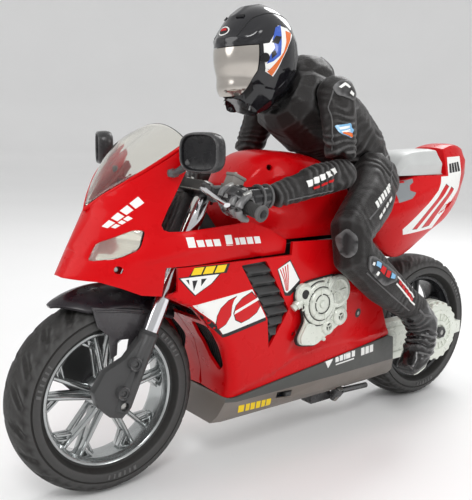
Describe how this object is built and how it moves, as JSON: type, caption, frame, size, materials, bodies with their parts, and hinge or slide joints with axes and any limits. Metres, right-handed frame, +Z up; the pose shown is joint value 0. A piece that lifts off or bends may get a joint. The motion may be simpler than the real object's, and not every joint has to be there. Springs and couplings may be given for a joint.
{
  "type": "toy motorcycle",
  "caption": "Radio controlled sport motorcycle with full fairing, raked fork, geared rear wheel, gyro flywheel and a crouched rider whose arms follow the bars.",
  "frame": {"origin": "on the ground plane under the middle of the overall length and width", "axes": "+X forward along the machine, +Y to the rider's left, +Z up"},
  "size_m": [0.3399, 0.1242, 0.2514],
  "materials": {
    "body_red": "gloss moulded",
    "trim_black": "gloss moulded",
    "pan_grey": "satin moulded",
    "vent_black": "satin moulded",
    "engine_white": "pearl paint",
    "seat_silver": "satin silver paint",
    "tyre_rubber": "matte",
    "rim_silver": "bright plated",
    "rim_black": "satin moulded",
    "fork_black": "satin moulded",
    "tube_chrome": "polished",
    "steel": "satin",
    "clear": "clear moulded",
    "lamp_silver": "plated",
    "suit": "satin",
    "glove_black": "gloss",
    "helmet_black": "gloss paint",
    "visor_silver": "mirrored",
    "nylon": "moulded",
    "brass": "turned",
    "board_green": "lacquered",
    "cell_blue": "shrink sleeve"
  },
  "bodies": {
    "bike": {"chassis": "vent_black", "upper_fairing": "body_red", "headlight_lenses": "clear", "headlight_unit": "lamp_silver", "windscreen": "clear", "side_fairing_left": "body_red", "side_fairing_right": "body_red", "vent_left": "vent_black", "vent_right": "vent_black", "belly_pan": "pan_grey", "engine_cover_left": "engine_white", "engine_cover_right": "engine_white", "tank_cover": "body_red", "tail_cowl": "body_red", "seat_pad": "seat_silver", "battery": "cell_blue", "circuit_board": "board_green", "gyro_motor": "steel", "drive_motor": "steel", "steering_servo": "vent_black", "gearbox_case": "engine_white", "gearbox_cover": "engine_white", "swingarm_right": "vent_black", "rear_axle": "steel", "rider_torso": "suit", "leg_left": "suit", "leg_right": "suit"},
    "steering": {"lower_yoke": "fork_black", "upper_yoke": "fork_black", "fork_tube_left": "tube_chrome", "fork_tube_right": "tube_chrome", "handlebar_left": "trim_black", "handlebar_right": "trim_black", "hand_left": "glove_black", "hand_right": "glove_black"},
    "fork_slider": {"fork_leg_left": "fork_black", "fork_leg_right": "fork_black", "front_fender": "trim_black", "front_axle": "steel"},
    "front_wheel": {"front_tyre": "tyre_rubber", "front_rim": "rim_silver"},
    "rear_wheel": {"rear_tyre": "tyre_rubber", "rear_rim": "rim_black", "wheel_gear": "nylon"},
    "idler_rear": {"idler_gear_rear": "nylon"},
    "idler_front": {"idler_gear_front": "nylon"},
    "pinion": {"motor_pinion": "brass"},
    "gyro": {"flywheel": "brass"},
    "servo_output": {"servo_gear": "nylon"},
    "stand": {"kickstand": "pan_grey"},
    "mirror_l": {"mirror_left": "trim_black"},
    "mirror_r": {"mirror_right": "trim_black"},
    "head": {"helmet": "helmet_black", "visor": "visor_silver"},
    "upper_arm_l": {"upper_arm_left": "suit"},
    "upper_arm_r": {"upper_arm_right": "suit"},
    "forearm_l": {"forearm_left": "suit"},
    "forearm_r": {"forearm_right": "suit"},
    "switch": {"power_switch": "vent_black"}
  },
  "joints": [
    {"name": "steering_turn", "type": "hinge", "parent": "bike", "child": "steering", "pos_m": [0.11188, 0, 0.04612], "axis": [-0.4305, 0, 0.9026], "range_deg": [-15, 15]},
    {"name": "fork_travel", "type": "slide", "parent": "steering", "child": "fork_slider", "axis": [-0.4305, 0, 0.9026], "range_m": [0, 0.006], "stiffness_N_per_m": 1800, "springref_m": -0.008},
    {"name": "front_wheel_spin", "type": "hinge", "parent": "fork_slider", "child": "front_wheel", "pos_m": [0.12, 0, 0.05], "axis": [0, 1, 0], "continuous": true},
    {"name": "rear_wheel_spin", "type": "hinge", "parent": "bike", "child": "rear_wheel", "pos_m": [-0.12, 0, 0.05], "axis": [0, 1, 0], "continuous": true},
    {"name": "idler_rear_spin", "type": "hinge", "parent": "bike", "child": "idler_rear", "pos_m": [-0.094, 0, 0.05], "axis": [0, 1, 0], "continuous": true},
    {"name": "idler_front_spin", "type": "hinge", "parent": "bike", "child": "idler_front", "pos_m": [-0.074, 0, 0.05], "axis": [0, 1, 0], "continuous": true},
    {"name": "pinion_spin", "type": "hinge", "parent": "bike", "child": "pinion", "pos_m": [-0.059, 0, 0.05], "axis": [0, 1, 0], "continuous": true},
    {"name": "gyro_spin", "type": "hinge", "parent": "bike", "child": "gyro", "pos_m": [0.0185, 0, 0.082], "axis": [0, 1, 0], "continuous": true},
    {"name": "servo_turn", "type": "hinge", "parent": "bike", "child": "servo_output", "pos_m": [0.06636, 0, 0.09975], "axis": [-0.4305, 0, 0.9026], "range_deg": [-30, 30]},
    {"name": "stand_fold", "type": "hinge", "parent": "bike", "child": "stand", "pos_m": [-0.0343, 0.017, 0.0226], "axis": [0.0393, -0.6162, -0.7866], "range_deg": [0, 74]},
    {"name": "mirror_left_turn", "type": "hinge", "parent": "bike", "child": "mirror_l", "pos_m": [0.097, 0.0316, 0.1635], "axis": [0, 0, 1], "range_deg": [-8, 12]},
    {"name": "mirror_right_turn", "type": "hinge", "parent": "bike", "child": "mirror_r", "pos_m": [0.097, -0.0316, 0.1635], "axis": [0, 0, 1], "range_deg": [-12, 8]},
    {"name": "head_turn", "type": "hinge", "parent": "bike", "child": "head", "pos_m": [0.0115, 0, 0.213], "axis": [0, 0, 1], "range_deg": [-25, 25]},
    {"name": "shoulder_left", "type": "hinge", "parent": "bike", "child": "upper_arm_l", "pos_m": [-0.0095, 0.031, 0.2045], "axis": [-0.3719, 0.5319, 0.7608], "range_deg": [-17.4, 17.4]},
    {"name": "shoulder_right", "type": "hinge", "parent": "bike", "child": "upper_arm_r", "pos_m": [-0.0095, -0.031, 0.2045], "axis": [-0.3719, -0.5319, 0.7608], "range_deg": [-17.4, 17.4]},
    {"name": "elbow_left", "type": "hinge", "parent": "upper_arm_l", "child": "forearm_l", "pos_m": [-0.0035, 0.043, 0.161], "axis": [0.6131, -0.297, -0.7321], "range_deg": [-20.3, 20.3]},
    {"name": "elbow_right", "type": "hinge", "parent": "upper_arm_r", "child": "forearm_r", "pos_m": [-0.0035, -0.043, 0.161], "axis": [0.6131, 0.297, -0.7321], "range_deg": [-20.3, 20.3]},
    {"name": "switch_slide", "type": "slide", "parent": "bike", "child": "switch", "axis": [1, 0, 0], "range_m": [0, 0.004]}
  ],
  "couplings": [
    {"joint": "idler_rear_spin", "follows": "rear_wheel_spin", "ratio": -1.6},
    {"joint": "idler_front_spin", "follows": "rear_wheel_spin", "ratio": 1.6},
    {"joint": "pinion_spin", "follows": "rear_wheel_spin", "ratio": -3.2},
    {"joint": "servo_turn", "follows": "steering_turn", "ratio": -2},
    {"joint": "shoulder_left", "follows": "steering_turn", "ratio": 1.159},
    {"joint": "shoulder_right", "follows": "steering_turn", "ratio": 1.159},
    {"joint": "elbow_left", "follows": "steering_turn", "ratio": 1.352},
    {"joint": "elbow_right", "follows": "steering_turn", "ratio": 1.352}
  ]
}
